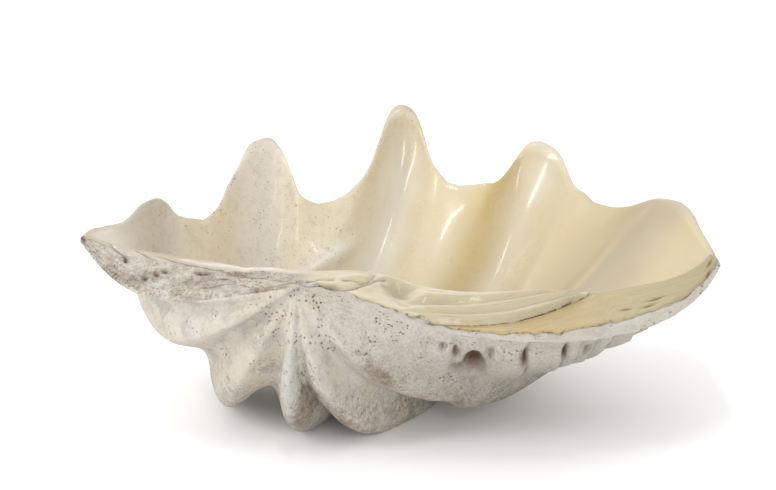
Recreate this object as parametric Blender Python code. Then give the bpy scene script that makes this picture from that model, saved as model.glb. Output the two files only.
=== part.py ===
"""Half of a giant clam: one valve, lying hollow side up on the bellies of its ribs.

Metres, +Z up. X runs along the hinge, Y from the hinge to the scalloped rim.
The valve grew as one piece, so it is one solid: a loft of meridians that fan out from
the beak, run under the shell, over the lip and back along the hollow to the hinge.
The dorsal side, with its hinge plate and teeth, closes the loft.
"""

import bmesh
import bpy
import numpy as np
from mathutils import Vector

NODE = "clam_valve"
COLOUR = (0.62, 0.55, 0.42, 1)
ROUGHNESS = 0.4

# Every rib grows from the beak. A station is one meridian of the fan: its two handles
# and its tip on the rim, as a cubic curve from the beak. Station 0 is the left dorsal
# margin, 1 to 5 are the ribs, and 6 is the right dorsal margin.
BEAK = (-0.105, 0.075, 0.178)
OUTER_STATIONS = (
    ((-0.227, 0.061, 0.170), (-0.279, 0.072, 0.138), (-0.340, 0.180, 0.194)),
    ((-0.272, 0.000, 0.091), (-0.300, 0.310, 0.049), (-0.280, 0.330, 0.198)),
    ((-0.258, 0.006, -0.042), (-0.158, 0.443, -0.088), (-0.162, 0.440, 0.243)),
    ((-0.158, -0.079, -0.147), (0.007, 0.585, 0.004), (0.004, 0.500, 0.269)),
    ((-0.060, -0.068, -0.128), (0.131, 0.518, -0.032), (0.168, 0.470, 0.230)),
    ((0.034, -0.035, -0.018), (0.205, 0.345, -0.020), (0.311, 0.345, 0.190)),
    ((0.033, 0.020, 0.131), (0.262, -0.013, 0.108), (0.336, 0.150, 0.177)),
)
LAST = len(OUTER_STATIONS) - 1

# The furrow in each gap between stations: its share of the full depth at the beak, the
# belly and the rim, where across the gap it is deepest, and how much of the meridian's
# growth is missing there, which makes the valleys of the rim.
FURROW_SHARE = ((0.30, 0.72, 1.00, 1.00, 0.90, 0.30), (0.30, 0.85, 1.00, 1.00, 0.85, 0.00))
VALLEY_AT = (0.38, 0.47, 0.43, 0.53, 0.56, 0.50)
VALLEY_CUT = (0.02, 0.08, 0.12, 0.12, 0.065, 0.00)
FURROW_DEPTH = (0.000, 0.034, 0.042, 0.047, 0.052)
BELLY_POWER = 0.85
RIM_POWERS = ((1.0, 1.5), (1.65, 0.87), (0.8, 4.0), (2.4, 1.75), (1.7, 1.0), (1.0, 1.0))
START = 0.12
SWELL = 0.012
RIM_LEAN = 0.8

# The hollow starts on the hinge plate's inner edge, given at each station, plunges under
# the plate and then follows the outside one wall away.
PLATE_EDGE = (
    (-0.163, 0.150, 0.175),
    (-0.132, 0.152, 0.174),
    (-0.093, 0.150, 0.171),
    (-0.026, 0.142, 0.172),
    (0.041, 0.130, 0.156),
    (0.124, 0.122, 0.157),
    (0.203, 0.115, 0.159),
)
PLUNGE = (-0.1, 0.0, -1.0)
HANDLE = 0.36
LEFT_MARGIN = ((-0.221, 0.146, 0.189), (-0.280, 0.166, 0.186), (-0.334, 0.186, 0.198))
RIGHT_MARGIN = ((0.245, 0.115, 0.168), (0.297, 0.120, 0.167), (0.326, 0.160, 0.186))
MARGIN_REACH = 0.8
JOIN_OUT = 0.42
JOIN_IN = 0.40
WALL = (0.030, 0.026, 0.020, 0.010)
LIP = 0.009

# The hinge, seen along x from the left tip to the right one: where the ligament's groove
# runs across the band, from 0 on the outer edge to 1 on the hollow's edge. The teeth stand
# on the raised side of it.
GROOVE = ((-0.090, 0.02), (0.022, 0.12), (0.077, 0.30), (0.132, 0.42), (0.176, 0.64), (0.216, 0.98))
GROOVE_DEPTH = 0.003
PLATFORM = 0.006
RIDGE = 0.0025
BAND_UP = (0.0, -0.34, 0.94)

ACROSS = 72
ALONG = 22
BAND = 8
WELD = 1e-5
STEP = 1e-3


def smooth(low, high, x):
    """0 below low, 1 above high, and an S-curve between."""
    t = np.clip((x - low) / (high - low), 0, 1)
    return t * t * (3 - 2 * t)


def spline(values, at):
    """The natural cubic curve through values at 0, 1, 2 and so on, read at each place in at."""
    values = np.asarray(values, float)
    count = len(values)
    matrix = np.eye(count)
    bends = np.zeros_like(values)
    for i in range(1, count - 1):
        matrix[i, i - 1 : i + 2] = (1, 4, 1)
        bends[i] = 6 * (values[i - 1] - 2 * values[i] + values[i + 1])
    bends = np.linalg.solve(matrix, bends)
    at = np.asarray(at, float)
    i = np.clip(np.floor(at).astype(int), 0, count - 2)
    t = at - i
    if values.ndim > 1:
        t = t[..., None]
    line = (1 - t) * values[i] + t * values[i + 1]
    return line + ((1 - t) ** 3 - (1 - t)) * bends[i] / 6 + (t**3 - t) * bends[i + 1] / 6


def cubic(start, near, far, end, v):
    v = v[..., None]
    return (1 - v) ** 3 * start + 3 * (1 - v) ** 2 * v * near + 3 * (1 - v) * v**2 * far + v**3 * end


def along(values, v):
    """values spread evenly over v from 0 to 1, on a smooth curve."""
    return spline(values, np.clip(v, 0, 1) * (len(values) - 1))


def gap_of(u):
    return np.clip(np.floor(u).astype(int), 0, LAST - 1)


def furrow(u, g):
    """Nothing on a rib and 1 along the bottom of each furrow. Ribs narrow towards the rim."""
    gap = gap_of(u)
    across = u - gap
    deepest = np.asarray(VALLEY_AT)[gap]
    skew = (0.5 - deepest) / (deepest * (1 - deepest))
    across = across + skew * across * (1 - across)
    crest = np.clip((1 + np.cos(2 * np.pi * across)) / 2, 0, 1)
    left, right = np.moveaxis(np.asarray(RIM_POWERS)[gap], -1, 0)
    round_rib, sharp_rib = crest**BELLY_POWER, smooth(0, 1, crest ** (left + (right - left) * across))
    return 1 - round_rib + (round_rib - sharp_rib) * smooth(0.35, 1.0, g)


def furrow_depth(u, g):
    belly, rim = (np.asarray(row)[gap_of(u)] for row in FURROW_SHARE)
    share = belly + (rim - belly) * smooth(0.45, 0.85, g)
    swell = np.sin(np.pi * smooth(LAST - 0.8, LAST, u)) * smooth(0, 0.4, g) * (1 - smooth(0.85, 1, g))
    return along(FURROW_DEPTH, g) * smooth(-0.02, START, g) * share * furrow(u, g) - SWELL * swell


def grown(u, g):
    """How far along its meridian a point lies: the furrows stop short of the ribs' tips."""
    return g * (1 - np.asarray(VALLEY_CUT)[gap_of(u)] * furrow(u, np.ones_like(g)))


def envelope(u, v):
    """The smooth surface that the rib crests lie on."""
    stations = np.asarray(OUTER_STATIONS)
    near, far, tip = (spline(stations[:, i], u) for i in range(3))
    return cubic(np.asarray(BEAK), near, far, tip, v)


def inward(u, v):
    """The unit normal of the envelope, pointing into the hollow."""
    v = np.clip(v, 0.03, 1 - STEP)
    u = np.clip(u, STEP, LAST - STEP)
    du = envelope(u + STEP, v) - envelope(u - STEP, v)
    dv = envelope(u, v + STEP) - envelope(u, v - STEP)
    normal = np.cross(du, dv)
    return normal / np.linalg.norm(normal, axis=-1, keepdims=True)


def outside(u, g):
    v = grown(u, g)
    sink = inward(u, v)
    sink[..., 0] *= 1 - RIM_LEAN * smooth(0.45, 0.9, g)
    return envelope(u, v) + sink * furrow_depth(u, g)[..., None]


def lining(u, g):
    """The outside moved inwards by the wall."""
    wall = along(WALL, (g - JOIN_OUT) / (1 - JOIN_OUT))
    return outside(u, g) + inward(u, grown(u, g)) * wall[..., None]


def hollow(u, g):
    join = np.full_like(g, JOIN_OUT)
    seat = lining(u, join)
    ahead = lining(u, join + STEP) - seat
    ahead /= np.linalg.norm(ahead, axis=-1, keepdims=True)
    start = spline(PLATE_EDGE, u)
    reach = np.linalg.norm(seat - start, axis=-1, keepdims=True) * HANDLE
    down = start + np.asarray(PLUNGE) * reach
    plunging = cubic(start, down, seat - ahead * reach, seat, np.clip(g / JOIN_IN, 0, 1))
    out = JOIN_OUT + (g - JOIN_IN) / (1 - JOIN_IN) * (1 - JOIN_OUT)
    following = lining(u, np.clip(out, JOIN_OUT, 1))
    body = np.where((g < JOIN_IN)[..., None], plunging, following)
    for end, margin in ((0, LEFT_MARGIN), (LAST, RIGHT_MARGIN)):
        edge = cubic(start, *(np.asarray(p) for p in margin), g)
        share = 1 - smooth(0, MARGIN_REACH, np.abs(u - end))
        body = body * (1 - share[..., None]) + edge * share[..., None]
    return body


def ruled(first, second, w):
    return first[:, None] * (1 - w)[None, :, None] + second[:, None] * w[None, :, None]


def lip(u, w):
    """The rounded edge of the rim, from its outer side to its inner side."""
    ones = np.ones_like(u)
    outer, inner = outside(u, ones), hollow(u, ones)
    growth = outer - outside(u, ones - 0.02)
    growth /= np.linalg.norm(growth, axis=-1, keepdims=True)
    bulge = np.sin(np.pi * w) * LIP / 2
    return ruled(outer, inner, w) + growth[:, None] * bulge[None, :, None]


def hinge_relief(x, w):
    """Height of the teeth, the sockets, the groove and the left side's layers above the band."""
    groove_x, groove_w = np.asarray(GROOVE).T
    groove = np.interp(x, groove_x, groove_w)
    here = smooth(-0.02, 0.04, x) * (1 - smooth(0.19, 0.22, x))
    raised = smooth(groove - 0.02, groove + 0.22, w)
    middle = groove + (1 - groove) * 0.5
    between = np.exp(-(((w - middle) / 0.09) ** 2)) * smooth(0.03, 0.07, x)
    channel = np.exp(-(((w - groove) / 0.09) ** 2))
    height = here * (PLATFORM * raised - RIDGE * between - GROOVE_DEPTH * channel)
    tooth = np.exp(-(((x + 0.040) / 0.022) ** 2 + ((w - 0.78) / 0.16) ** 2))
    socket = np.exp(-(((x - 0.002) / 0.014) ** 2 + ((w - 0.85) / 0.20) ** 2))
    pit = np.exp(-(((x + 0.066) / 0.012) ** 2 + ((w - 0.40) / 0.12) ** 2))
    height = height + 0.006 * tooth - 0.008 * socket - 0.005 * pit
    layers = np.cos(2 * np.pi * 3 * w) * (1 - smooth(-0.16, -0.10, x)) * smooth(-0.33, -0.25, x)
    height = height + RIDGE * layers
    return height * smooth(0, 0.1, w) * (1 - smooth(0.9, 1, w))


def hinge_band(u, g, w):
    """The dorsal side from the left tip to the right one: its outer edge, and its rows from there."""
    left, right, none = np.zeros_like(g), np.full_like(g, LAST), np.zeros_like(u)
    inner = np.concatenate([hollow(left, g)[::-1], hollow(u, none)[1:-1], hollow(right, g)])
    edge = np.concatenate([outside(left, g)[::-1], outside(right, g)[1:]])
    share = (inner[:, 0] - inner[0, 0]) / (inner[-1, 0] - inner[0, 0])
    x = edge[0, 0] + share * (edge[-1, 0] - edge[0, 0])
    outer = np.stack([np.interp(x, edge[:, 0], edge[:, i]) for i in range(3)], axis=-1)
    base = ruled(outer, inner, w)
    return edge, base + np.asarray(BAND_UP) * hinge_relief(base[..., :1], w[None, :, None])


def grid(bm, points):
    verts = [[bm.verts.new(p) for p in row] for row in points]
    for a, b in zip(verts, verts[1:]):
        for i in range(len(a) - 1):
            bm.faces.new((a[i], b[i], b[i + 1], a[i + 1]))
    return verts


def strip(bm, first, second):
    """Triangles between two rows of vertices that both run from left to right."""
    i = j = 0
    while i + 1 < len(first) or j + 1 < len(second):
        ended = j + 1 == len(second)
        if ended or (i + 1 < len(first) and first[i + 1].co.x < second[j + 1].co.x):
            bm.faces.new((first[i], first[i + 1], second[j]))
            i += 1
        else:
            bm.faces.new((first[i], second[j + 1], second[j]))
            j += 1


def valve_mesh():
    u = np.linspace(0, LAST, ACROSS + 1)
    g = np.linspace(0, 1, ALONG + 1)
    w = np.linspace(0, 1, BAND + 1)
    across, along_rib = np.meshgrid(u, g, indexing="ij")
    rim = lip(u, w)
    edge, band = hinge_band(u, g, w)
    band[0], band[-1] = rim[0], rim[-1]
    bm = bmesh.new()
    grid(bm, outside(across, along_rib))
    grid(bm, hollow(across, along_rib))
    grid(bm, rim)
    rows = grid(bm, band[:, 1:])
    strip(bm, [bm.verts.new(p) for p in edge], [row[0] for row in rows])
    bmesh.ops.remove_doubles(bm, verts=bm.verts, dist=WELD)
    bmesh.ops.triangulate(bm, faces=bm.faces)
    bmesh.ops.recalc_face_normals(bm, faces=bm.faces)
    return bm


def shell_material():
    material = bpy.data.materials.new("shell")
    material.use_nodes = True
    surface = material.node_tree.nodes["Principled BSDF"]
    surface.inputs["Base Color"].default_value = COLOUR
    surface.inputs["Roughness"].default_value = ROUGHNESS
    surface.inputs["Metallic"].default_value = 0.0
    return material


def rest_on_ground(bm):
    """Wears the bellies of the ribs flat where the valve lies, and centres it over the origin."""
    x, y, z = np.array([vert.co for vert in bm.verts]).T
    centre = Vector(((x.min() + x.max()) / 2, (y.min() + y.max()) / 2, 0))
    for vert in bm.verts:
        vert.co.z = max(vert.co.z, 0)
        vert.co -= centre


def main():
    for obj in list(bpy.data.objects):
        bpy.data.objects.remove(obj)
    bm = valve_mesh()
    rest_on_ground(bm)
    mesh = bpy.data.meshes.new(NODE)
    bm.to_mesh(mesh)
    bm.free()
    mesh.materials.append(shell_material())
    giant_clam = bpy.data.collections.new("giant_clam")
    bpy.context.scene.collection.children.link(giant_clam)
    giant_clam.objects.link(bpy.data.objects.new(NODE, mesh))


main()
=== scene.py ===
"""Half of a giant clam, finished: one valve lying hollow side up on a pale floor.

Metres, +Z up. X runs along the hinge and Y from the hinge to the scalloped rim. The valve
stands in for its plain solid with the same loft on a finer mesh, which adds the layers'
broken edges, lumps, pits and teeth, and one material that is chalk outside, porcelain in
the hollow and horn along the hinge.
"""

import math

import bmesh
import bpy
import numpy as np
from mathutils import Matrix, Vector, noise


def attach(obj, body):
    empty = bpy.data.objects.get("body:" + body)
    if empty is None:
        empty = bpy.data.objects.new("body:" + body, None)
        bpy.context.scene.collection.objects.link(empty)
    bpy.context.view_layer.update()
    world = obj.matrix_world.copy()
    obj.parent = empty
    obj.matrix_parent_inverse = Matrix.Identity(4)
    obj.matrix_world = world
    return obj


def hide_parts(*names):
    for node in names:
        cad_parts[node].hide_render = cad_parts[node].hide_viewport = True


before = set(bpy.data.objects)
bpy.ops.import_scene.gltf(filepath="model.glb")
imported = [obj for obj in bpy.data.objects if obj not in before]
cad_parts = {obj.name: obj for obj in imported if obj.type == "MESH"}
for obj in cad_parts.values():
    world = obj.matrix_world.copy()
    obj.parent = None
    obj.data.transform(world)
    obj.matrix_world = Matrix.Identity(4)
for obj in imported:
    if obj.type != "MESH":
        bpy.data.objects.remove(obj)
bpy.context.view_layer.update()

# The fan of ribs.
# A clam's valve grows from the beak outwards, one layer at a time, so every rib is a
# meridian of one fan, and the furrows between the ribs deepen as they near the rim.

# A place on the fan is u, which counts the ribs from the left end, and g, the growth from 0
# at the beak to 1 at the rim. A pair of numbers is the span in which something comes or goes.
BEAK = (-0.105, 0.075, 0.178)
# Where each rib heads as it leaves the beak, where it turns up from, and its tip.
RIBS = (
    ((-0.227, 0.061, 0.163), (-0.272, 0.080, 0.140), (-0.340, 0.180, 0.194)),
    ((-0.272, 0.000, 0.091), (-0.300, 0.310, 0.049), (-0.280, 0.330, 0.198)),
    ((-0.258, 0.006, -0.042), (-0.158, 0.443, -0.088), (-0.162, 0.440, 0.243)),
    ((-0.158, -0.079, -0.147), (0.007, 0.585, 0.004), (0.004, 0.500, 0.269)),
    ((-0.060, -0.068, -0.128), (0.131, 0.518, -0.032), (0.168, 0.470, 0.230)),
    ((0.034, -0.035, -0.018), (0.205, 0.345, -0.020), (0.311, 0.345, 0.190)),
    ((0.033, 0.020, 0.131), (0.262, -0.013, 0.108), (0.336, 0.150, 0.177)),
)
LAST = len(RIBS) - 1
# For each gap between ribs: its share of the furrows' depth on the belly and at the rim,
# where across it is deepest, and how far it stops short of the tips.
BELLY_SHARE = (0.30, 0.72, 1.00, 1.00, 0.90, 0.30)
RIM_SHARE = (0.30, 0.85, 1.00, 1.00, 0.85, 0.00)
SHARE_TURNS = (0.45, 0.85)
VALLEY_AT = (0.38, 0.47, 0.43, 0.53, 0.56, 0.50)
VALLEY_CUT = (0.02, 0.08, 0.12, 0.12, 0.065, 0.00)
FURROW_DEPTH = (0.000, 0.034, 0.042, 0.047, 0.052)
FURROWS_START = (-0.02, 0.12)
# How sharp the rib on each side of a gap has become at the rim.
RIM_POWERS = ((1.0, 1.5), (1.65, 0.87), (0.8, 4.0), (2.4, 1.75), (1.7, 1.0), (1.0, 1.0))
RIBS_NARROW = (0.35, 1.0)
SWELL = 0.012
SWELL_WIDTH = 0.8
SWELL_RISES = (0, 0.4)
SWELL_FALLS = (0.85, 1)
RIM_LEAN = 0.8
LEAN_GROWS = (0.45, 0.9)
# What has worn off the rim, in thousandths of the growth, ten times from each rib to the next.
RIM_TRIM = (
    (0, -7, -5, 5, 9, 12, 15, 7, -6, -3),
    (3, 14, 8, -2, 2, 12, 0, -10, 8, 1),
    (3, 6, -24, -9, 9, 16, 14, 0, -9, 3),
    (1, 3, 4, 0, 19, 17, 5, -9, 3, 10),
    (0, 0, 0, 0, -7, 5, 6, 5, 6, 4),
    (0, -6, -5, -2, 6, 8, 9, 8, 7, 5),
)
TRIM_UNIT = 1000
WEAR_GROWS = (0.8, 1)
CHIP = 0.003
COARSE_CHIPS = 7.0
FINE_CHIPS = 19.0
STEP = 1e-3
NEAR_BEAK = 0.03
COLUMNS = 288


def smooth(low, high, x):
    """0 up to low, 1 from high on, and an S-curve between. low may be the larger one."""
    t = np.clip((x - low) / (high - low), 0, 1)
    return t * t * (3 - 2 * t)


def within(x, rise, fall):
    """1 from the end of the span rise to the start of the span fall, and 0 outside both."""
    return smooth(*rise, x) * (1 - smooth(*fall, x))


def bell(x, middle, spread):
    return np.exp(-(((x - middle) / spread) ** 2))


def spots(u, g, rows):
    """Soft spots added up, each row being (strength, u, spread along u, g, spread along g)."""
    parts = [row[0] * bell(u, row[1], row[2]) * bell(g, row[3], row[4]) for row in rows]
    return sum(parts)


def spline(values, at):
    """The natural cubic curve through values at 0, 1, 2 and so on, read at each place in at."""
    values = np.asarray(values, float)
    count = len(values)
    matrix = np.eye(count)
    bends = np.zeros_like(values)
    for i in range(1, count - 1):
        matrix[i, i - 1 : i + 2] = (1, 4, 1)
        bends[i] = 6 * (values[i - 1] - 2 * values[i] + values[i + 1])
    bends = np.linalg.solve(matrix, bends)
    at = np.asarray(at, float)
    i = np.clip(np.floor(at).astype(int), 0, count - 2)
    t = at - i
    if values.ndim > 1:
        t = t[..., None]
    line = (1 - t) * values[i] + t * values[i + 1]
    return line + ((1 - t) ** 3 - (1 - t)) * bends[i] / 6 + (t**3 - t) * bends[i + 1] / 6


def along(values, v):
    """values spread evenly over v from 0 to 1, on a smooth curve."""
    return spline(values, np.clip(v, 0, 1) * (len(values) - 1))


def cubic(start, near, far, end, v):
    """The Bezier curve from start to end, read at v from 0 to 1."""
    v = v[..., None]
    first = (1 - v) ** 3 * start + 3 * (1 - v) ** 2 * v * near
    return first + 3 * (1 - v) * v**2 * far + v**3 * end


def lumps(points, size, seed=0.0):
    """Smooth noise from -1 to 1 at each point, with lumps about size across."""
    places = (points.reshape(-1, 3) / size + seed).tolist()
    return np.array([noise.noise(place) for place in places]).reshape(points.shape[:-1])


def fan_lumps(u, g, per_rib, per_meridian, seed=0.0):
    """Smooth noise over the fan, stretched to so many lumps to a rib and to a meridian."""
    return lumps(np.stack([u * per_rib, g * per_meridian, np.zeros_like(u)], axis=-1), 1.0, seed)


def gap_of(u):
    return np.clip(np.floor(u).astype(int), 0, LAST - 1)


def furrow(u, g):
    """Nothing on a rib and 1 along the bottom of each furrow. Ribs narrow towards the rim."""
    gap = gap_of(u)
    across = u - gap
    deepest = np.asarray(VALLEY_AT)[gap]
    skew = (0.5 - deepest) / (deepest * (1 - deepest))
    across = across + skew * across * (1 - across)
    round_rib = np.clip((1 + np.cos(2 * np.pi * across)) / 2, 0, 1)
    left, right = np.moveaxis(np.asarray(RIM_POWERS)[gap], -1, 0)
    sharp_rib = smooth(0, 1, round_rib ** (left + (right - left) * across))
    return 1 - round_rib + (round_rib - sharp_rib) * smooth(*RIBS_NARROW, g)


def furrow_depth(u, g):
    """How far the outside lies within the envelope. The right end swells out of it."""
    belly, rim = (np.asarray(row)[gap_of(u)] for row in (BELLY_SHARE, RIM_SHARE))
    share = belly + (rim - belly) * smooth(*SHARE_TURNS, g)
    depth = along(FURROW_DEPTH, g) * smooth(*FURROWS_START, g) * share * furrow(u, g)
    swell = np.sin(np.pi * smooth(LAST - SWELL_WIDTH, LAST, u))
    return depth - SWELL * swell * within(g, SWELL_RISES, SWELL_FALLS)


def grown(u, g):
    """How far along its meridian a point lies: furrows stop short, and the rim is uneven."""
    worn = np.interp(u, fan_u, rim_wear) * smooth(*WEAR_GROWS, g)
    return g * (1 - np.asarray(VALLEY_CUT)[gap_of(u)] * furrow(u, np.ones_like(g)) - worn)


def envelope(u, v):
    """The smooth surface that the rib crests lie on."""
    ribs = np.asarray(RIBS)
    near, far, tip = (spline(ribs[:, i], u) for i in range(3))
    return cubic(np.asarray(BEAK), near, far, tip, v)


def across_surface(surface, u, v):
    """The unit normal of a surface of the fan, pointing into the hollow."""
    u, v = np.clip(u, STEP, LAST - STEP), np.clip(v, NEAR_BEAK, 1 - STEP)
    du = surface(u + STEP, v) - surface(u - STEP, v)
    dv = surface(u, v + STEP) - surface(u, v - STEP)
    normal = np.cross(du, dv)
    return normal / np.linalg.norm(normal, axis=-1, keepdims=True)


fan_u = np.linspace(0, LAST, COLUMNS + 1)
still = np.zeros_like(fan_u)
coarse_chips = fan_lumps(fan_u, still, COARSE_CHIPS, 1.0)
fine_chips = fan_lumps(fan_u, still, FINE_CHIPS, 1.0, 4.0)
trims = np.append(np.ravel(RIM_TRIM), 0)
trimmed = np.interp(fan_u * len(RIM_TRIM[0]), np.arange(len(trims)), trims) / TRIM_UNIT
rim_wear = trimmed + CHIP * np.maximum(0, coarse_chips + 0.5 * fine_chips)

# The chalky outside.
# The old outer layer is dull white lime. Its growth layers end in ragged edges along the
# long end, one of them a thick plate with a broken dent behind it, and borers have pitted it.

ROWS_OUT = 96
# The growth at each broken edge, and how high it stands.
LAYER_EDGES = (
    (0.330, 0.0012),
    (0.473, 0.0030),
    (0.550, 0.0030),
    (0.583, 0.0015),
    (0.615, 0.0025),
    (0.650, 0.0035),
    (0.710, 0.0045),
    (0.765, 0.0025),
    (0.820, 0.0030),
    (0.880, 0.0020),
    (0.935, 0.0020),
)
LAYER_RUN = 0.055
EDGE_RUN = 0.0018
EDGE_ROWS = (-1, 0, 1, 3, 5)
LAYERS_SHOW = (5.0, 5.7)
FAINT = 0.12
RAGGED_EDGE = 0.75
FULL_EDGE = 0.004
SLIT_DEPTH = 0.0015
SLIT_WIDTH = 0.004
SLIT_BEHIND = 3 * EDGE_RUN
SLIT_DARK = 0.8
PLATE_AT = 0.390
PLATE_STEP = 0.008
PLATE_FROM = (4.6, 5.0)
PLATE_TO = (5.80, 5.95)
PLATE_THINS = (0.5, 0.75)
PLATE_DRIFT = 0.012
PLATE_DRIFTS = (5.2, 5.7)
# u and g of each dent, its spread along both, and its depth.
DENTS = (
    (5.62, 0.378, 0.17, 0.020, 0.0130),
    (5.52, 0.350, 0.10, 0.020, 0.0030),
    (5.77, 0.339, 0.08, 0.006, 0.0050),
    (5.82, 0.312, 0.05, 0.005, 0.0040),
    (5.85, 0.404, 0.06, 0.005, 0.0040),
    (5.83, 0.473, 0.09, 0.006, 0.0055),
    (5.87, 0.556, 0.08, 0.006, 0.0055),
    (5.86, 0.607, 0.09, 0.005, 0.0040),
)
DENT_WALL = (0.1, 0.8)
DARK_DENT = 0.006
MEANDER = 0.010
LUMPS_OUT = ((0.055, 0.0016), (0.020, 0.0007), (0.009, 0.0003))
LUMPS_START = (0.0, 0.08)
RELIEF_AT_ENDS = 0.35
ENDS_FADE = (0, 0.05)
RIM_FADES = (0.97, 1)
# Painted shade near the floor and in the lee of the ribs, grime and painted shade in the furrows,
# and a darker long end.
GROUND_SHADE = 0.65
GROUND_SPAN = (0.015, 0.09)
FURROW_SOIL_AND_SHADE = 0.14
FURROWS_DARKENED = (0.05, 0.25)
LEE_SHADE = (
    (1.05, 3.62, 0.42, 0.185, 0.055),
    (1.05, 5.00, 0.18, 0.19, 0.05),
    (0.735, 3.32, 0.20, 0.215, 0.045),
    (0.525, 2.17, 0.10, 0.15, 0.03),
)
LONG_END_DARKER = 0.22
LONG_END = (4.6, 5.3)
FAINTER_FURROWS = (4.4, 5.2)
FAR = 0.05
NO_CRACK = 0.02


def outside(u, g):
    v = grown(u, g)
    sink = across_surface(envelope, u, v)
    sink[..., 0] *= 1 - RIM_LEAN * smooth(*LEAN_GROWS, g)
    return envelope(u, v) + sink * furrow_depth(u, g)[..., None]


def layered(u, g):
    """(height, darkness) of the growth layers' broken edges, the darkness being dirt and painted
    shade in the slits and dents.
    """
    broken = RAGGED_EDGE + 0.5 * fan_lumps(u, g, 9.0, 30.0, 7.0)
    bold = FAINT + (1 - FAINT) * smooth(*LAYERS_SHOW, u) * broken
    height, dark = np.zeros_like(g), np.zeros_like(g)
    for edge, rise in LAYER_EDGES:
        ragged = bold * (0.8 + 0.6 * fan_lumps(u, np.full_like(g, edge * 50), 6.0, 1.0, 2.0))
        lifted = within(g, (edge - LAYER_RUN, edge - EDGE_RUN), (edge - EDGE_RUN, edge + EDGE_RUN))
        slit = np.clip(ragged, 0, 1) * rise / FULL_EDGE * bell(g, edge + SLIT_BEHIND, SLIT_WIDTH)
        height += rise * ragged * lifted - SLIT_DEPTH * slit
        # Dirt and painted shade in the slit behind each edge.
        dark = np.maximum(dark, SLIT_DARK * slit)
    plate = within(u, PLATE_FROM, PLATE_TO) * (1 - smooth(*PLATE_THINS, g))
    plate_at = PLATE_AT + PLATE_DRIFT * smooth(*PLATE_DRIFTS, u)
    height += PLATE_STEP * plate * smooth(-EDGE_RUN / 2, EDGE_RUN / 2, g - plate_at)
    for dent_u, dent_g, wide, tall, deep in DENTS:
        dent = smooth(*DENT_WALL, bell(u, dent_u, wide) * bell(g, dent_g, tall))
        height -= deep * dent
        # Dirt and painted shade in the dent.
        dark = np.maximum(dark, dent * min(1, deep / DARK_DENT))
    return height, np.clip(dark, 0, 1)


def outer_soil(u, g, up):
    """Grime and painted shade in the furrows, painted shade under the bellies near the floor and in
    the lee of the ribs, and more darkening on the long end.
    """
    fainter = 1 - 0.6 * smooth(*FAINTER_FURROWS, u)
    soil = FURROW_SOIL_AND_SHADE * furrow(u, g) ** 2 * smooth(*FURROWS_DARKENED, g) * fainter
    soil = soil + GROUND_SHADE * (1 - smooth(*GROUND_SPAN, up)) + spots(u, g, LEE_SHADE)
    return np.clip(soil + LONG_END_DARKER * smooth(*LONG_END, u), 0, 1)


def fan_traits(u, g, **own):
    """What the material reads at each point of a sheet, with nothing near but what own says."""
    plain = dict(inside=0, horn=0, dark=0, seam=FAR, soil=0, yellowing_and_shade=0, cracks=NO_CRACK, border=FAR)
    traits = {name: np.full_like(g, value) for name, value in plain.items()}
    return dict(traits, growth=g, fan=u) | own


def chalk_sheet():
    """The outside as a grid of points, with what the material reads at each."""
    edges = [edge for edge, _ in LAYER_EDGES] + [PLATE_AT]
    marks = [edge + side * EDGE_RUN for edge in edges for side in EDGE_ROWS]
    rows = np.unique(np.concatenate([np.linspace(0, 1, ROWS_OUT + 1), marks]))
    u, g = np.meshgrid(fan_u, rows, indexing="ij")
    bent = g + MEANDER * fan_lumps(u, g, 2.0, 5.0) * np.sin(np.pi * g)
    points = outside(u, bent)
    height, dark = layered(u, g)
    lumpy = sum(high * lumps(points, size, 3.0) for size, high in LUMPS_OUT)
    height += lumpy * smooth(*LUMPS_START, g)
    from_ends = smooth(*ENDS_FADE, np.minimum(u, LAST - u))
    height *= RELIEF_AT_ENDS + (1 - RELIEF_AT_ENDS) * from_ends
    height *= 1 - smooth(*RIM_FADES, g)
    points -= across_surface(outside, u, bent) * height[..., None]
    soil = outer_soil(u, g, points[..., 2])
    return points, fan_traits(u, g, dark=dark, soil=soil, seam=np.full_like(g, -FAR))


shell = bpy.data.materials.new("shell")
shell.use_nodes = True
nodes, links = shell.node_tree.nodes, shell.node_tree.links


class Wire:
    """An output socket of the shell's material. Maths on wires adds Math nodes."""

    def __init__(self, socket):
        self.socket = socket

    def other(self, name):
        return Wire(self.socket.node.outputs[name])

    def __add__(self, value):
        return maths("ADD", self, value)

    def __sub__(self, value):
        return maths("SUBTRACT", self, value)

    def __rsub__(self, value):
        return maths("SUBTRACT", value, self)

    def __mul__(self, value):
        return maths("MULTIPLY", self, value)

    __radd__ = __add__
    __rmul__ = __mul__


def make(kind, settings=None, sockets=None, output=0):
    """A new node's output. Its settings are set first, then its sockets' values and links."""
    node = nodes.new("ShaderNode" + kind)
    for name, value in (settings or {}).items():
        setattr(node, name, value)
    for name, value in (sockets or {}).items():
        if isinstance(value, Wire):
            links.new(value.socket, node.inputs[name])
        else:
            node.inputs[name].default_value = value
    return Wire(node.outputs[output])


def maths(operation, first, second):
    return make("Math", dict(operation=operation), {0: first, 1: second})


def unsigned(wire):
    """The wire's value without its sign."""
    return maths("ABSOLUTE", wire, 0.0)


def larger(first, second):
    return maths("MAXIMUM", first, second)


def between(low, high, wire):
    """0 up to low, 1 from high on, and an S-curve between. low may be the larger one."""
    sockets = {"Value": wire, "From Min": low, "From Max": high}
    return make("MapRange", dict(interpolation_type="SMOOTHSTEP"), sockets)


def mixed(share, first, second):
    return make("Mix", dict(data_type="RGBA"), {0: share, 6: first, 7: second}, output=2)


def trait(name):
    return make("Attribute", dict(attribute_name=name), output="Fac")


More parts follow.
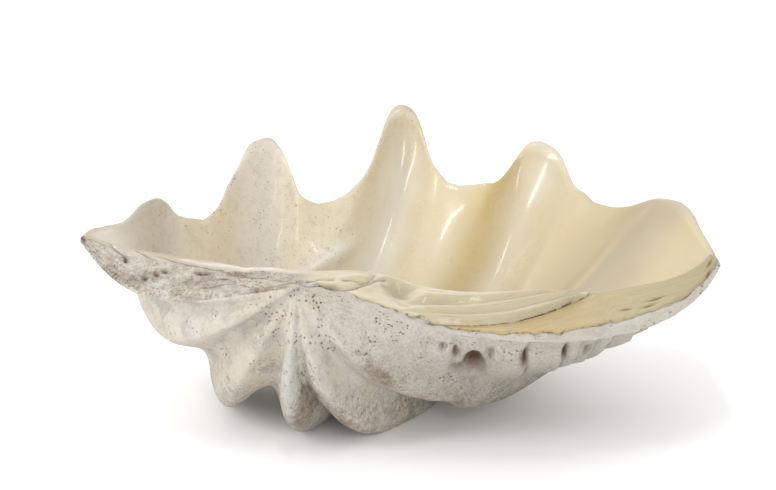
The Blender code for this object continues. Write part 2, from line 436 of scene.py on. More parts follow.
def paint(red, green, blue):
    """A colour as a screen shows it, from 0 to 255, in linear light."""
    screen = np.array([red, green, blue]) / 255
    linear = np.where(screen < 0.04045, screen / 12.92, ((screen + 0.055) / 1.055) ** 2.4)
    return (*linear.tolist(), 1.0)


place = make("TexCoord", output="Object")


def clouds(size, detail=3.0, roughness=0.5, where=None):
    """Noise from 0 to 1 whose patches are about size across."""
    sockets = {"Vector": where or place, "Scale": 1 / size}
    return make("TexNoise", None, sockets | {"Detail": detail, "Roughness": roughness})


def streaks(long, short, first="fan", second="growth"):
    """Noise drawn out along the first of two traits, so many streaks to one of the second."""
    sockets = {"X": trait(first) * long, "Y": trait(second) * short, "Z": 0.0}
    return clouds(1.0, 3.0, 0.6, make("CombineXYZ", None, sockets))


def pits(cell, radius, share, where):
    """1 in uneven pits. That share of the cells has one, on the places where says."""
    jagged = {0: clouds(cell / 2).other("Color"), 1: (cell, cell, cell), 2: place}
    jagged = make("VectorMath", dict(operation="MULTIPLY_ADD"), jagged)
    cells = make("TexVoronoi", None, {"Vector": jagged, "Scale": 1 / cell})
    chosen = between(1 - share, 1 - share + 0.02, cells.other("Color"))
    return between(radius / cell, 0.35 * radius / cell, cells) * chosen * where


LIME = paint(200, 194, 185)
WARM_LIME = paint(193, 184, 168)
GREY_LIME = paint(164, 160, 153)
SHADED_LIME = paint(174, 175, 170)
GRIME_AND_SHADE = paint(116, 99, 78)
RUST = paint(146, 110, 78)
PIT_BROWN_AND_SHADE = paint(84, 56, 32)
CHALK_ROUGHNESS = 0.95
# The size of each kind of mark, and how far it stands up in the bump.
PATCH, PATCH_HEIGHT = 0.030, 0.0020
MOTTLE, MOTTLE_HEIGHT = 0.0085, 0.0014
GRAIN, GRAIN_HEIGHT = 0.0026, 0.0009
LINE_HEIGHT = 0.0006
HOLE_DEPTH = 0.0014
# The cell, the radius and the share of the cells that are bored.
SMALL_HOLES = (0.0040, 0.0015, 0.50)
LARGE_HOLES = (0.0120, 0.0022, 0.28)


def lime(patches, lines, fan):
    """The colours of the lime, cream and grey and greyer low on the long end, with painted shade on
    one rib's facet, before any grime.
    """
    warm = between(0.38, 0.62, clouds(0.055, 5.0, 0.65))
    low = between(0.14, 0.04, make("SeparateXYZ", None, {"Vector": place}, output=2))
    long_end = between(4.3, 5.3, fan) * (0.35 + 0.50 * low)
    grey = larger(between(0.48, 0.64, patches) * 0.70, long_end)
    past_beak = between(0.03, 0.08, trait("growth"))
    # A darker, bluer lime on one rib's facet is painted shade.
    shaded_facet = between(2.75, 2.90, fan) * between(3.35, 3.15, fan) * past_beak
    tone = mixed(grey, mixed(warm, LIME, WARM_LIME), GREY_LIME)
    return mixed(between(0.52, 0.72, lines) * 0.16, mixed(shaded_facet * 0.55, tone, SHADED_LIME), GRIME_AND_SHADE)


def soiled(tone, soil, mottle, grain):
    """The lime with rust, mottled grime and stipple on it, more grime and painted shade where the
    dirt-and-shade mask is high, and bare lime in the grain.
    """
    rusty = between(0.60, 0.72, clouds(0.050, 5.0, 0.7)) * between(0.0, 0.5, soil) * 0.5
    tone = mixed(rusty, tone, RUST)
    tone = mixed(between(0.36, 0.66, mottle) * soil * 0.80, tone, GRIME_AND_SHADE)
    tone = mixed(between(0.50, 0.64, grain) * (0.14 + 0.66 * soil), tone, GRIME_AND_SHADE)
    # Painted shade, darkest in the lee of the ribs and under the bellies.
    tone = mixed(between(0.60, 0.95, soil) * 0.50, tone, GRIME_AND_SHADE)
    return mixed(between(0.47, 0.36, grain) * 0.30, tone, LIME)


def bored():
    """1 in the borers' holes, the small ones in clusters and round the beak."""
    clusters = between(0.50, 0.62, clouds(0.035, 2.0))
    beaked = between(0.16, 0.05, trait("growth")) * between(0.42, 0.55, clouds(0.014, 2.0))
    small = pits(*SMALL_HOLES, larger(clusters * 0.8, beaked))
    large = pits(*LARGE_HOLES, between(0.52, 0.62, clouds(0.05, 2.0)))
    return larger(small, large)


def chalk():
    """(colour, roughness, coat, height in metres) of dull lime, stippled with grime, darkened with
    painted shade in its furrows, lee and recesses, and bored.
    """
    patches = clouds(PATCH, 6.0, 0.65)
    mottle = clouds(MOTTLE, 5.0, 0.7)
    grain = clouds(GRAIN, 4.0, 0.7)
    lines = streaks(3.0, 45.0)
    holes = bored()
    tone = soiled(lime(patches, lines, trait("fan")), trait("soil"), mottle, grain)
    # Borer holes are brown; the darkness of the slits, dents and pits is dirt and painted shade.
    tone = mixed(larger(holes * 0.85, trait("dark") * (0.75 + 0.5 * mottle)), tone, PIT_BROWN_AND_SHADE)
    height = grain * GRAIN_HEIGHT + mottle * MOTTLE_HEIGHT + patches * PATCH_HEIGHT
    height = height + lines * LINE_HEIGHT - holes * HOLE_DEPTH
    return tone, CHALK_ROUGHNESS - 0.12 * patches, 0.0, height


# The porcelain hollow.
# The inner layer is dense, polished ivory, a wall's thickness inside the outer one. From
# under the hinge plate it plunges to the floor and climbs out along every rib.

PLATE_EDGE = (
    (-0.163, 0.150, 0.175),
    (-0.132, 0.152, 0.174),
    (-0.093, 0.150, 0.171),
    (-0.026, 0.142, 0.172),
    (0.041, 0.130, 0.156),
    (0.124, 0.122, 0.157),
    (0.203, 0.115, 0.159),
)
PLUNGE = (-0.1, 0.0, -1.0)
HANDLE = 0.36
LEFT_MARGIN = ((-0.221, 0.146, 0.189), (-0.280, 0.166, 0.186), (-0.334, 0.186, 0.198))
RIGHT_MARGIN = ((0.245, 0.115, 0.168), (0.297, 0.120, 0.167), (0.326, 0.160, 0.186))
MARGIN_REACH = 0.8
JOIN_OUT = 0.42
JOIN_IN = 0.40
WALL = (0.030, 0.026, 0.020, 0.008)
ROWS_IN = 84
# How many times the hollow is evened out, everywhere and again at the right.
EVENED = 50
EVENED_RIGHT = 150
EVENED_ENDS = (0, 0.4)
EVENED_FROM = (0.1, 0.4)
ROUGH_RIM = (0.86, 0.98)
RIGHT_PART = (4.15, 4.6)
WAVES_IN = ((0.060, 0.0007), (0.016, 0.00012))
KNOB = ((0.010, 2.55, 0.20, 0.795, 0.032),)
CREASE_AT = 4.84
CREASE_DEPTH = 0.0030
CREASE_WIDTH = 0.035
CREASE_STARTS = (0.45, 0.7)
CREASE_ENDS = (0.88, 0.95)
WAVES_START = (0, 0.1)
WAVES_ENDS = (0, 0.3)
# How deep a yellow the ivory has on the ridges and at the right, how much painted shade darkens one
# trough's flank and the crease with yellow, and how much paler the knob is, partly as painted
# sheen.
RIDGE_YELLOW = 0.42
RIDGES_FROM = (1.0, 1.6)
TROUGH_SHADE = 0.65
TROUGH_AT = 3.80
TROUGH_WIDTH = 0.16
TROUGH_FROM = (0.3, 0.6)
RIGHT_YELLOW = 0.12
RIGHT_YELLOWS = (4.3, 5.2)
CREASE_SHADE = 0.35
SHADED_CREASE_AT = 4.86
SHADED_CREASE_WIDTH = 0.022
# The knob's paler ivory is partly painted sheen.
KNOB_PALE_AND_SHEEN = ((0.6, 2.52, 0.24, 0.80, 0.06),)
SOIL_CLIMBS = (0.50, 0.85)
SOILED_RIBS = ((1.0, 0.5), (2.1, 0.55))
TIP_SOIL = 0.8
TIP_SPAN = (0.93, 0.99)
SOILED_TIPS = ((2.0, 0.35), (3.0, 0.3))
KNOB_SOIL = ((1.0, 2.5, 0.3, 0.83, 0.1),)


def lining(u, g):
    """The outside moved inwards by the wall."""
    wall = along(WALL, (g - JOIN_OUT) / (1 - JOIN_OUT))
    return outside(u, g) + across_surface(envelope, u, grown(u, g)) * wall[..., None]


def hollow(u, g):
    """The inner surface, which plunges up to JOIN_IN and follows the lining from there."""
    join = np.full_like(g, JOIN_OUT)
    seat = lining(u, join)
    ahead = lining(u, join + STEP) - seat
    ahead /= np.linalg.norm(ahead, axis=-1, keepdims=True)
    start = spline(PLATE_EDGE, u)
    reach = np.linalg.norm(seat - start, axis=-1, keepdims=True) * HANDLE
    down = start + np.asarray(PLUNGE) * reach
    plunging = cubic(start, down, seat - ahead * reach, seat, np.clip(g / JOIN_IN, 0, 1))
    out = JOIN_OUT + (g - JOIN_IN) / (1 - JOIN_IN) * (1 - JOIN_OUT)
    following = lining(u, np.clip(out, JOIN_OUT, 1))
    body = np.where((g < JOIN_IN)[..., None], plunging, following)
    for end, margin in ((0, LEFT_MARGIN), (LAST, RIGHT_MARGIN)):
        edge = cubic(start, *(np.asarray(p) for p in margin), g)
        share = 1 - smooth(0, MARGIN_REACH, np.abs(u - end))
        body = body * (1 - share[..., None]) + edge * share[..., None]
    return body


def evened(points, times):
    """Each point drawn to the mean of its neighbours across the ribs, so that no fold shows."""
    for _ in range(times):
        points[1:-1] = (points[:-2] + 2 * points[1:-1] + points[2:]) / 4
    return points


def hollow_waves(u, g, points):
    """How far the hollow's slight waves, its knob and its crease stand up."""
    waves = sum(high * lumps(points, size, 11.0) for size, high in WAVES_IN)
    waves += spots(u, g, KNOB)
    waves -= CREASE_DEPTH * bell(u, CREASE_AT, CREASE_WIDTH) * within(g, CREASE_STARTS, CREASE_ENDS)
    calm = smooth(*WAVES_ENDS, np.minimum(u, LAST - u)) * within(g, WAVES_START, RIM_FADES)
    return waves * calm


def yellowed_and_shaded(u, g):
    # Yellow tints of the ivory, with painted shade on one trough's flank and in the crease, and a
    # paler knob that is partly painted sheen.
    yellowing_and_shade = RIDGE_YELLOW * furrow(u, g) * smooth(*RIDGES_FROM, u)
    yellowing_and_shade += TROUGH_SHADE * bell(u, TROUGH_AT, TROUGH_WIDTH) * smooth(*TROUGH_FROM, g)
    yellowing_and_shade += RIGHT_YELLOW * smooth(*RIGHT_YELLOWS, u)
    crease = bell(u, SHADED_CREASE_AT, SHADED_CREASE_WIDTH) * within(g, CREASE_STARTS, CREASE_ENDS)
    return np.clip(yellowing_and_shade + CREASE_SHADE * crease - spots(u, g, KNOB_PALE_AND_SHEEN), 0, 1)


def inner_soil(u, g):
    ribs = sum(bell(u, at, wide) for at, wide in SOILED_RIBS)
    tips = sum(bell(u, at, wide) for at, wide in SOILED_TIPS)
    soil = smooth(*SOIL_CLIMBS, g) * ribs + spots(u, g, KNOB_SOIL)
    return np.clip(soil + TIP_SOIL * smooth(*TIP_SPAN, g) * tips, 0, 1)


def porcelain_sheet():
    """The hollow as a grid of points, with what the material reads at each."""
    u, g = np.meshgrid(fan_u, np.linspace(0, 1, ROWS_IN + 1), indexing="ij")
    points = hollow(u, g)
    share = smooth(*EVENED_ENDS, np.minimum(u, LAST - u)) * smooth(*EVENED_FROM, g)
    share = share * (1 - 0.75 * smooth(*ROUGH_RIM, g))
    for times, where in ((EVENED, share), (EVENED_RIGHT, share * smooth(*RIGHT_PART, u))):
        points += where[..., None] * (evened(points.copy(), times) - points)
    points += across_surface(hollow, u, g) * hollow_waves(u, g, points)[..., None]
    traits = dict(inside=np.ones_like(g), soil=inner_soil(u, g), yellowing_and_shade=yellowed_and_shaded(u, g))
    return points, fan_traits(u, g, **traits)


MILK = paint(216, 209, 195)
IVORY = paint(206, 195, 170)
SAND = paint(175, 163, 141)
BUTTER_AND_SHADE = paint(206, 186, 136)
SPECK = paint(104, 82, 56)
SPECKS = (0.0040, 0.0011, 0.55)
SPECK_DEPTH = 0.0004
SWELLS, SWELL_HEIGHT = 0.020, 0.0004
ORANGE_PEEL, PEEL_HEIGHT = 0.0040, 0.00045


def ivory(fan):
    """The colours of the porcelain before any dirt, milky at the left, sandy at both ends and
    yellow, with painted shade on one trough's flank and in the crease, and a knob paler partly as
    painted sheen.
    """
    milky = larger(between(3.1, 2.5, fan), 0.7 * between(0.36, 0.66, clouds(0.09, 2.0)))
    tone = mixed(between(4.2, 4.8, fan), mixed(milky, IVORY, MILK), SAND)
    left_end = larger(between(0.5, 0.1, fan), 0.65 * between(1.7, 1.0, fan))
    tone = mixed(left_end, tone, SAND)
    return mixed(trait("yellowing_and_shade") * (0.65 + 0.7 * clouds(0.05, 3.0)), tone, BUTTER_AND_SHADE)


def porcelain():
    """(colour, roughness, coat, height in metres) of polished ivory, with specks near the rim."""
    soil, fan = trait("soil"), trait("fan")
    smudges = between(0.46, 0.70, clouds(0.012, 5.0, 0.7)) * soil
    specks = pits(*SPECKS, soil * between(0.44, 0.60, clouds(0.022, 3.0)))
    dust = between(0.60, 0.68, clouds(0.0022, 3.0, 0.6)) * soil
    dirt = larger(specks * 0.80, smudges * 0.16 + dust * 0.30)
    tone = mixed(trait("dark"), mixed(dirt, ivory(fan), SPECK), SPECK)
    height = clouds(SWELLS, 2.0) * SWELL_HEIGHT - specks * SPECK_DEPTH
    height = height + clouds(ORANGE_PEEL, 2.0) * PEEL_HEIGHT * soil
    gloss = between(4.7, 4.2, fan) * between(0.1, 0.6, fan)
    rough = 0.46 - 0.24 * gloss + 0.12 * clouds(0.03) + 0.18 * soil + 0.25 * between(0.8, 0.2, fan)
    return tone, rough, 0.04 + gloss * (0.16 + 0.24 * between(2.3, 3.0, fan)), height


# The rim.
# Where the two layers meet, the edge is thin and rounded, and a little worn.

LIP = 0.009
ROWS_LIP = 8
ROWS_BACK = 3


def lip_sheet(outer, inner):
    """Rows from the outer sheet's last one to the inner sheet's, bulging as the shell grows."""
    first, second = outer[0][:, -1], inner[0][:, -1]
    growth = first - outer[0][:, -1 - ROWS_BACK]
    growth /= np.linalg.norm(growth, axis=-1, keepdims=True)
    w = np.linspace(0, 1, ROWS_LIP + 1)
    bulge = np.sin(np.pi * w) * LIP / 2
    points = first[:, None] * (1 - w)[None, :, None] + second[:, None] * w[None, :, None]
    points += growth[:, None] * bulge[None, :, None]
    traits = {}
    for name, values in outer[1].items():
        traits[name] = values[:, -1:] * (1 - w) + inner[1][name][:, -1:] * w
    return points, traits


# The hinge.
# The valve hung on its mate here: a ribbed ivory platform with a tooth and a socket, the
# seam that held the ligament, a yellow horny flat below it, and layered chalk at the left.

# Across the hinge's band, w goes from 0 on the outer edge to 1 on the hollow's edge.
ROWS_BAND = 54
BAND_UP = (0.0, -0.34, 0.94)
SEAM_FROM = -0.090
SEAM_TO = 0.200
SEAM = (0.05, 0.08, 0.17, 0.31, 0.55, 0.97)
SEAM_DEPTH = 0.0022
SEAM_WIDTH = 0.022
SEAM_OPENS = (-0.01, 0.03)
SEAM_CLOSES = (0.19, 0.21)
SEAM_LEAVES = (0.19, 0.22)
CHALK_FROM = -0.090
CHALK_TO = 0.330
CHALK_EDGE = (0.50, 0.30, 0.17, 0.15, 0.19, 0.31, 0.32, 0.36)
CHALK_RAGS = 0.05
PLATFORM = 0.006
PLATFORM_FROM = (-0.02, 0.04)
PLATFORM_TO = (0.17, 0.20)
PLATFORM_EDGE = (-0.02, 0.12)
# Each ridge or valley of the platform: its height, where across it lies at x, how much that
# changes with x, and its width.
RIDGES = (
    (0.0015, 0.11, 0.0, 0.0, 0.05),
    (-0.0022, 0.20, 0.058, 1.5, 0.025),
    (0.0034, 0.34, 0.052, 2.2, 0.09),
    (-0.0024, 0.54, 0.052, 1.8, 0.09),
    (0.0016, 0.74, 0.052, 1.2, 0.09),
)
GULLY_DEPTH = 0.0040
GULLY_AT = 0.36
GULLY_LEAN = 4.0
GULLY_WIDTH = 0.10
GULLY_FROM = (-0.01, 0.01)
GULLY_TO = (0.04, 0.09)
TOOTH_HEIGHT = 0.006
TOOTH_SHAPE = (-0.042, 0.022, 0.78, 0.16)
SOCKET_DEPTH = 0.012
SOCKET_SHAPE = (-0.001, 0.016, 0.74, 0.17)
SOCKET_DARK = 0.22
LAMELLAE = (0.10, 0.24, 0.42, 0.60, 0.78)
LAMELLA_RISE = 0.0014
LAMELLA_RUN = 0.12
LAMELLA_EDGE = 0.02
LAMELLAE_END = (-0.15, -0.11)
LAMELLA_SWAY = 0.03
SWAY_BENDS = 70
SWAY_SHIFT = 40
# x and w of each pit, its spread along both, and its depth.
BAND_PITS = (
    (-0.289, 0.68, 0.0030, 0.11, 0.0040),
    (-0.265, 0.37, 0.0030, 0.06, 0.0030),
    (-0.254, 0.53, 0.0035, 0.05, 0.0030),
    (-0.245, 0.61, 0.0050, 0.05, 0.0035),
    (-0.209, 0.66, 0.0045, 0.04, 0.0030),
    (-0.202, 0.68, 0.0035, 0.03, 0.0025),
    (-0.183, 0.53, 0.0060, 0.02, 0.0020),
    (-0.146, 0.08, 0.0020, 0.06, 0.0020),
    (-0.072, 0.44, 0.0090, 0.07, 0.0050),
    (0.262, 0.58, 0.0090, 0.02, 0.0020),
    (0.295, 0.30, 0.0100, 0.02, 0.0020),
    (0.254, 0.47, 0.0070, 0.02, 0.0015),
    (0.230, 0.52, 0.0060, 0.02, 0.0015),
    (0.324, 0.68, 0.0035, 0.08, 0.0010),
    (0.321, 0.40, 0.0030, 0.06, 0.0010),
    (-0.337, 0.50, 0.0030, 0.30, 0.0005),
)
# Each crack as the (x, w) places that it runs through.
CRACKS = (
    (
        *((-0.317, 0.76), (-0.290, 0.88), (-0.255, 0.90), (-0.219, 0.84)),
        *((-0.184, 0.80), (-0.166, 0.62), (-0.140, 0.55)),
    ),
    (
        *((-0.140, 0.55), (-0.129, 0.45), (-0.117, 0.39), (-0.108, 0.30)),
        *((-0.097, 0.45), (-0.087, 0.62), (-0.070, 0.70)),
    ),
    (
        *((-0.215, 0.28), (-0.205, 0.32), (-0.180, 0.39), (-0.164, 0.39)),
        *((-0.145, 0.16), (-0.128, 0.21), (-0.110, 0.30)),
    ),
    (
        *((-0.128, 0.21), (-0.097, 0.24), (-0.083, 0.48), (-0.072, 0.45)),
        *((-0.059, 0.42), (-0.045, 0.55), (-0.031, 0.68)),
    ),
    ((-0.031, 0.68), (-0.024, 0.80), (-0.016, 0.90)),
    (
        *((-0.060, 0.66), (-0.051, 0.68), (-0.041, 0.63)),
        *((-0.034, 0.68), (-0.029, 0.80), (-0.027, 0.90)),
    ),
)
CRACK_DEPTH = 0.0016
CRACK_WIDTH = 0.0022
BAND_EDGES = ((0, 0.06), (0.92, 1))
BUMP_EDGES = ((0, 0.08), (0.9, 1))
FINE_LUMPS = (0.008, 0.0004)
CHALK_LUMPS = (0.018, 0.0016)
CHALK_SIDE = (0.004, -0.004)
CHALK_LEFT = (-0.11, -0.08)
CRUMBLE_DEPTH = 0.0014
CRUMBLE_SPAN = (0.003, 0.0)
CRUMBLE_FROM = -0.05
HORN_SIDE = (-0.0012, 0.0012)
HORN_FROM = (-0.115, -0.085)
HORN_ENDS = (0.97, 1)
BORDER_FROM = -0.06
LEFT_EDGE = (-0.08, -0.13)
POLISHED = (0.90, 0.97)
POLISHED_LEFT = (0.76, 0.96)
MILKIER_LEFT = (0.70, 0.90)
GREYER_LEFT = 0.15
LEFT_SOIL = (-0.12, -0.09)
LEFT_SOIL_ENDS = (0.75, 0.9)


def seam_line(x):
    return along(SEAM, (x - SEAM_FROM) / (SEAM_TO - SEAM_FROM))


def from_cracks(x, w, wide):
    """The distance in metres to the nearest crack."""
    nearest = np.full(x.shape, NO_CRACK)
    here = np.stack([x, w * wide], axis=-1)
    for crack in CRACKS:
        for first, second in zip(crack, crack[1:]):
            width = np.interp((first[0] + second[0]) / 2, x[:, 0], wide[:, 0])
            a, b = (np.array([end[0], end[1] * width]) for end in (first, second))
            t = np.clip((here - a) @ (b - a) / ((b - a) @ (b - a)), 0, 1)
            away = np.linalg.norm(here - a - t[..., None] * (b - a), axis=-1)
            nearest = np.minimum(nearest, away)
    return nearest


def platform_relief(x, w):
    """Height of the ivory platform over the band, with its ridges, its gully and the seam."""
    seam = seam_line(x)
    t = (w - seam) / (1 - seam)
    here = within(x, PLATFORM_FROM, PLATFORM_TO)
    height = here * PLATFORM * smooth(*PLATFORM_EDGE, t)
    for high, at, at_x, lean, wide in RIDGES:
        height += here * high * bell(t, at + lean * (x - at_x), wide)
    gully = bell(t, GULLY_AT + GULLY_LEAN * x, GULLY_WIDTH) * within(x, GULLY_FROM, GULLY_TO)
    groove = within(x, SEAM_OPENS, SEAM_CLOSES) * bell(w, seam, SEAM_WIDTH)
    return height - GULLY_DEPTH * gully - SEAM_DEPTH * groove


def hinge_relief(x, w):
    """(height, darkness) of the teeth, sockets, seam and layers over the band."""
    height = platform_relief(x, w)
    dark = np.zeros_like(height)
    for pit_x, pit_w, wide, tall, deep in BAND_PITS:
        pit = bell(x, pit_x, wide) * bell(w, pit_w, tall)
        height -= deep * pit
        # Dirt and painted shade in each pit.
        dark = np.maximum(dark, pit)
    socket = spots(x, w, ((1.0, *SOCKET_SHAPE),))
    height += spots(x, w, ((TOOTH_HEIGHT, *TOOTH_SHAPE),)) - SOCKET_DEPTH * socket
    # The socket is darkened as painted shade.
    dark = np.maximum(dark, SOCKET_DARK * socket)
    left = 1 - smooth(*LAMELLAE_END, x)
    for layer in LAMELLAE:
        drift = layer + LAMELLA_SWAY * np.sin(x * SWAY_BENDS + layer * SWAY_SHIFT)
        edge = within(w, (drift - LAMELLA_RUN, drift), (drift, drift + LAMELLA_EDGE))
        height += left * LAMELLA_RISE * edge
    return height * within(w, *BAND_EDGES), dark


def hinge_bumps(points, over, border, cracks):
    """Fine lumps, rough ones on the chalk, and the cracks and crumbled border sunk in them."""
    x = points[..., 0]
    rough = np.clip(smooth(*CHALK_SIDE, border) + 1 - smooth(*CHALK_LEFT, x), 0, 1)
    bumpy = FINE_LUMPS[1] * lumps(points, FINE_LUMPS[0], 5.0)
    bumpy += rough * CHALK_LUMPS[1] * lumps(points, CHALK_LUMPS[0], 8.0)
    bumpy -= CRACK_DEPTH * bell(cracks, 0, CRACK_WIDTH)
    bumpy -= CRUMBLE_DEPTH * smooth(*CRUMBLE_SPAN, np.abs(border)) * (x > CRUMBLE_FROM)
    return bumpy * within(over, *BUMP_EDGES)


def outer_edge(values):
    """The outer sheet's side that meets the hinge, from the left tip to the right one."""
    return np.concatenate([values[0, ::-1], values[-1, 1:]])


def inner_edge(values):
    """The inner sheet's side that meets the hinge, from the left tip to the right one."""
    return np.concatenate([values[0, ::-1], values[1:-1, 0], values[-1]])


def hinge_traits(points, over, wide, border, cracks, dark):
    """What the material reads on the band, apart from what its two edges hand on."""
    x = points[..., 0]
    left_edge = smooth(*LEFT_EDGE, x)
    polished_left = smooth(*POLISHED_LEFT, over) * left_edge
    horn = smooth(*HORN_SIDE, border) * smooth(*HORN_FROM, x) * (1 - smooth(*HORN_ENDS, over))
    seam = (over - seam_line(x)) * wide - FAR * smooth(*SEAM_LEAVES, x)
    left = 1 - smooth(*LEFT_SOIL, x)
    soil = left * (0.60 + 0.5 * lumps(points, 0.03, 4.0)) * (1 - smooth(*LEFT_SOIL_ENDS, over))
    return dict(
        inside=smooth(*POLISHED, over) * (1 - left_edge) + polished_left,
        horn=horn,
        dark=np.maximum(dark, GREYER_LEFT * polished_left),
        seam=np.where(over == 0, -FAR, seam),
        soil=np.clip(soil, 0, 1),
        cracks=cracks,
        border=border + FAR * (x < BORDER_FROM),
    )


def hinge_sheet(outer, inner):
    """The dorsal side, in rows from the outer edge to the hollow."""
    w = np.linspace(0, 1, ROWS_BAND + 1)
    edge, far = outer_edge(outer[0]), inner_edge(inner[0])
    share = (far[:, 0] - far[0, 0]) / (far[-1, 0] - far[0, 0])
    x = edge[0, 0] + share * (edge[-1, 0] - edge[0, 0])
    near = np.stack([np.interp(x, edge[:, 0], edge[:, i]) for i in range(3)], axis=-1)
    points = near[:, None] * (1 - w)[None, :, None] + far[:, None] * w[None, :, None]
    x, over = points[..., 0], np.broadcast_to(w, points.shape[:2])
    wide = np.linalg.norm(far - near, axis=-1)[:, None]
    rags = CHALK_RAGS * lumps(np.stack([x, over * wide, 0 * x], axis=-1), 0.012, 9.0)
    chalk_edge = along(CHALK_EDGE, (x - CHALK_FROM) / (CHALK_TO - CHALK_FROM)) + rags
    border = (over - chalk_edge) * wide
    cracks = from_cracks(x, over, wide)
    height, dark = hinge_relief(x, over)
    height += hinge_bumps(points, over, border, cracks)
    points = points + np.asarray(BAND_UP) * height[..., None]
    traits = hinge_traits(points, over, wide, border, cracks, dark)
    for name in ("growth", "fan", "yellowing_and_shade"):
        handed_on = np.interp(near[:, 0], edge[:, 0], outer_edge(outer[1][name]))
        traits[name] = handed_on[:, None] * (1 - w) + inner_edge(inner[1][name])[:, None] * w
    traits["fan"] += smooth(*LEFT_EDGE, x) * smooth(*MILKIER_LEFT, over)
    return points, traits


TOOTH = paint(183, 171, 141)
HORN = paint(176, 156, 113)
PALE_HORN = paint(171, 158, 122)
AMBER = paint(184, 148, 88)
CRACK_BROWN_AND_SHADE = paint(84, 62, 42)
SCRATCH_HEIGHT = 0.0007
SEAM_CRACK_DEPTH = 0.0008


def horny():
    """(colour, roughness, coat, height in metres) of the ivory platform and the yellow flat."""
    seam, border, across = trait("seam"), trait("border"), trait("across")
    lines = streaks(30.0, 500.0, "across", "seam")
    horn = mixed(between(0.17, 0.25, across), HORN, PALE_HORN)
    tone = mixed(between(0.0010, -0.0010, seam), TOOTH, horn)
    below = between(0.001, -0.001, seam) * between(-0.045, -0.030, seam)
    amber = between(0.020, 0.002, border) * between(0.45, 0.60, clouds(0.02)) * below * 0.7
    tone = mixed(between(0.50, 0.75, lines) * 0.35, mixed(amber, tone, AMBER), GRIME_AND_SHADE)
    crack = between(0.0009, 0.0002, unsigned(seam)) * between(0.38, 0.54, clouds(0.010))
    crack = crack * (0.35 + 0.55 * between(0.02, 0.14, across))
    crumbled = between(0.50, 0.58, clouds(0.006, 3.0, 0.6))
    crumbs = between(0.0035, 0.0010, unsigned(border)) * crumbled * between(0.26, 0.18, across)
    tone = mixed(larger(crack, crumbs * 0.8), tone, CRACK_BROWN_AND_SHADE)
    # Painted shade in the socket, dirt and painted shade in the pits.
    tone = mixed(trait("dark") * 0.8, tone, CRACK_BROWN_AND_SHADE)
    height = lines * SCRATCH_HEIGHT - crack * SEAM_CRACK_DEPTH
    return tone, 0.34 + 0.2 * clouds(0.01), 0.2, height


def cracked(tone):
    """The colour with brown cracks drawn into it."""
    wander = clouds(0.010, 3.0)
    broken = between(0.26, 0.50, clouds(0.016, 2.0))
    fine = between(0.0025, 0.0010, trait("cracks") + 0.0016 * wander) * broken
    return mixed(fine * 0.65, tone, CRACK_BROWN_AND_SHADE)


# The valve in one piece.
# The four surfaces are knitted into one closed shell, which wears flat where it rests.

NODE = "clam_valve"
WELD = 1e-5
SOLID_MIDDLE = (-0.0016, 0.2685, 0.0)
SHELL_IOR = 1.5
COAT_ROUGHNESS = 0.08


def knit(first, second, xs):
    """Triangles between two runs of vertex numbers that both go from left to right."""
    faces = []
    i = j = 0
    while i + 1 < len(first) or j + 1 < len(second):
        ended = j + 1 == len(second)
        if ended or (i + 1 < len(first) and xs[first[i + 1]] < xs[second[j + 1]]):
            faces.append((first[i], first[i + 1], second[j]))
            i += 1
        else:
            faces.append((first[i], second[j + 1], second[j]))
            j += 1
    return faces


def grid_faces(numbers):
    """Squares between neighbouring vertex numbers of a grid."""
    corners = numbers[:-1, :-1], numbers[:-1, 1:], numbers[1:, 1:], numbers[1:, :-1]
    return np.stack(corners, axis=-1).reshape(-1, 4).tolist()


def valve_sheets():
    """The outside, the hollow, the rim and the band, and the outer edge that the band meets."""
    outer, inner = chalk_sheet(), porcelain_sheet()
    lip, hinge = lip_sheet(outer, inner), hinge_sheet(outer, inner)
    nearest = np.linspace(0, ROWS_LIP, ROWS_BAND + 1).round().astype(int)
    for end in (0, -1):
        hinge[0][end] = lip[0][end][nearest]
    band = hinge[0][:, 1:], {name: values[:, 1:] for name, values in hinge[1].items()}
    edge_traits = {name: outer_edge(values)[:, None] for name, values in outer[1].items()}
    return outer, inner, lip, band, (outer_edge(outer[0])[:, None], edge_traits)


def knitted(sheets):
    """(points, faces) of the sheets' grids, the last of which is one row without faces."""
    points = np.concatenate([sheet[0].reshape(-1, 3) for sheet in sheets])
    grids, start = [], 0
    for sheet, _ in sheets:
        shape = sheet.shape[:2]
        grids.append(start + np.arange(shape[0] * shape[1]).reshape(shape))
        start += grids[-1].size
    *grids, edge = grids
    faces = [face for grid in grids for face in grid_faces(grid)]
    faces += knit(edge[:, 0].tolist(), grids[-1][:, 0].tolist(), points[:, 0])
    return points, faces


def valve_mesh():
    sheets = valve_sheets()
    points, faces = knitted(sheets)
    names = sheets[0][1]
    traits = {name: np.concatenate([own[name].reshape(-1) for _, own in sheets]) for name in names}
    traits["across"] = points[:, 0].copy()
    points -= SOLID_MIDDLE
    points[:, 2] = np.maximum(points[:, 2], 0)
    mesh = bpy.data.meshes.new("valve")
    mesh.from_pydata(points.tolist(), [], faces)
    for name, values in traits.items():
        attribute = mesh.attributes.new(name, "FLOAT", "POINT")
        attribute.data.foreach_set("value", values.astype(np.float32))
    bm = bmesh.new()
    bm.from_mesh(mesh)
    bmesh.ops.remove_doubles(bm, verts=bm.verts, dist=WELD)
    bmesh.ops.recalc_face_normals(bm, faces=bm.faces)
    bm.to_mesh(mesh)
    bm.free()
    mesh.shade_smooth()
    return mesh


def blend(share, first, second):
    return first + share * (second - first)


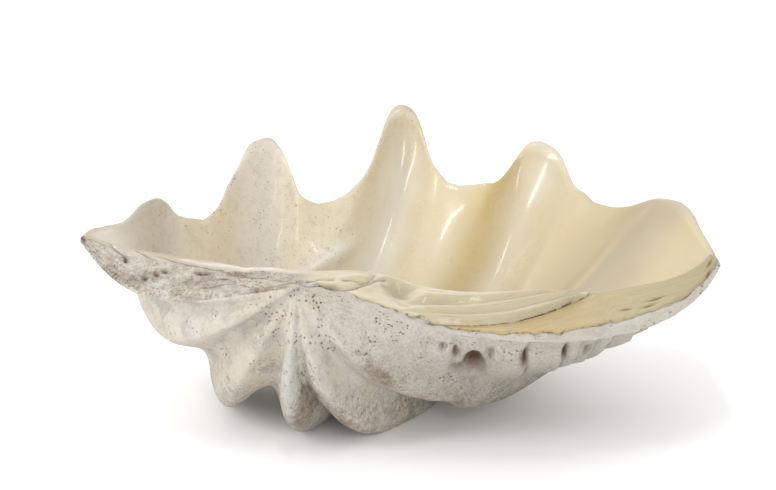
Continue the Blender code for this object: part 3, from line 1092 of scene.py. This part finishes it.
def finish_shell():
    """Chalk outside, porcelain in the hollow and horn on the hinge, on one surface shader."""
    inside, horn = trait("inside"), trait("horn")
    tones, *numbers = zip(chalk(), porcelain(), horny())
    rough, coat, height = (blend(horn, blend(inside, a, b), c) for a, b, c in numbers)
    tone = cracked(mixed(horn, mixed(inside, tones[0], tones[1]), tones[2]))
    bump = make("Bump", None, {"Height": height, "Distance": 1.0, "Strength": 1.0})
    surface = nodes["Principled BSDF"]
    wires = {"Base Color": tone, "Roughness": rough, "Coat Weight": coat, "Normal": bump}
    for name, wire in wires.items():
        links.new(wire.socket, surface.inputs[name])
    surface.inputs["IOR"].default_value = SHELL_IOR
    surface.inputs["Coat Roughness"].default_value = COAT_ROUGHNESS


finish_shell()
valve = bpy.data.objects.new("valve", valve_mesh())
valve.data.materials.append(shell)
bpy.context.scene.collection.objects.link(valve)
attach(valve, "root")
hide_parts(NODE)

# The floor.
# A plain pale studio floor, matt and wide enough to fill the picture.

FLOOR_SIDE = 16.0
FLOOR_TONE = (0.95, 0.95, 0.95, 1)
FLOOR_ROUGHNESS = 0.8


def floor_mesh():
    bm = bmesh.new()
    bmesh.ops.create_grid(bm, x_segments=1, y_segments=1, size=FLOOR_SIDE / 2)
    mesh = bpy.data.meshes.new("floor")
    bm.to_mesh(mesh)
    bm.free()
    matt = bpy.data.materials.new("floor")
    matt.use_nodes = True
    paintwork = matt.node_tree.nodes["Principled BSDF"].inputs
    paintwork["Base Color"].default_value = FLOOR_TONE
    paintwork["Roughness"].default_value = FLOOR_ROUGHNESS
    mesh.materials.append(matt)
    return mesh


floor = bpy.data.objects.new("floor", floor_mesh())
bpy.context.scene.collection.objects.link(floor)

# The light.
# Tall soft boxes stand at the left and near the camera and a small one hangs overhead. A
# lit backdrop far behind the valve and the white room fill the shadows.

AIM = (0.0, 0.0, 0.12)
# Name, place, what it is turned to, width, height and watts.
SOFT_BOXES = (
    ("key", (-2.00, -0.95, 1.10), AIM, 0.40, 1.8, 24.0),
    ("front", (0.72, -2.90, 1.00), AIM, 0.35, 1.8, 22.0),
    ("overhead", (0.0, -0.45, 2.3), AIM, 0.14, 0.9, 7.0),
    ("backdrop", (0.0, 7.0, 4.0), (0.0, 7.0, 0.0), 10.0, 6.0, 500.0),
)
ROOM_WHITE = (1, 1, 1, 1)
ROOM_GLOW = 0.84


def soft_box(name, where, aim, wide, tall, power):
    lamp = bpy.data.lights.new(name, "AREA")
    lamp.shape = "RECTANGLE"
    lamp.size, lamp.size_y = wide, tall
    lamp.energy = power
    stand = bpy.data.objects.new(name, lamp)
    stand.location = where
    stand.rotation_mode = "QUATERNION"
    stand.rotation_quaternion = (Vector(aim) - Vector(where)).to_track_quat("-Z", "Y")
    bpy.context.scene.collection.objects.link(stand)


for box in SOFT_BOXES:
    soft_box(*box)
room = bpy.data.worlds.new("room")
room.use_nodes = True
room.node_tree.nodes["Background"].inputs["Color"].default_value = ROOM_WHITE
room.node_tree.nodes["Background"].inputs["Strength"].default_value = ROOM_GLOW
bpy.context.scene.world = room
bpy.context.scene.view_settings.view_transform = "Standard"

# The camera.
# It looks at the hinge side, square to the hinge and from a little above, with a long lens.

ELEVATION = 17.0
DISTANCE = 2.2
LOOK_AT = Vector((-0.0116, -0.0185, 0.169))
LENS = 92.9
SENSOR = 36

camera = bpy.data.cameras.new("camera")
camera.lens = LENS
camera.sensor_width = SENSOR
tripod = bpy.data.objects.new("camera", camera)
back = Vector((0, -math.cos(math.radians(ELEVATION)), math.sin(math.radians(ELEVATION))))
tripod.location = LOOK_AT + DISTANCE * back
tripod.rotation_mode = "QUATERNION"
tripod.rotation_quaternion = (-back).to_track_quat("-Z", "Y")
bpy.context.scene.collection.objects.link(tripod)
bpy.context.scene.camera = tripod
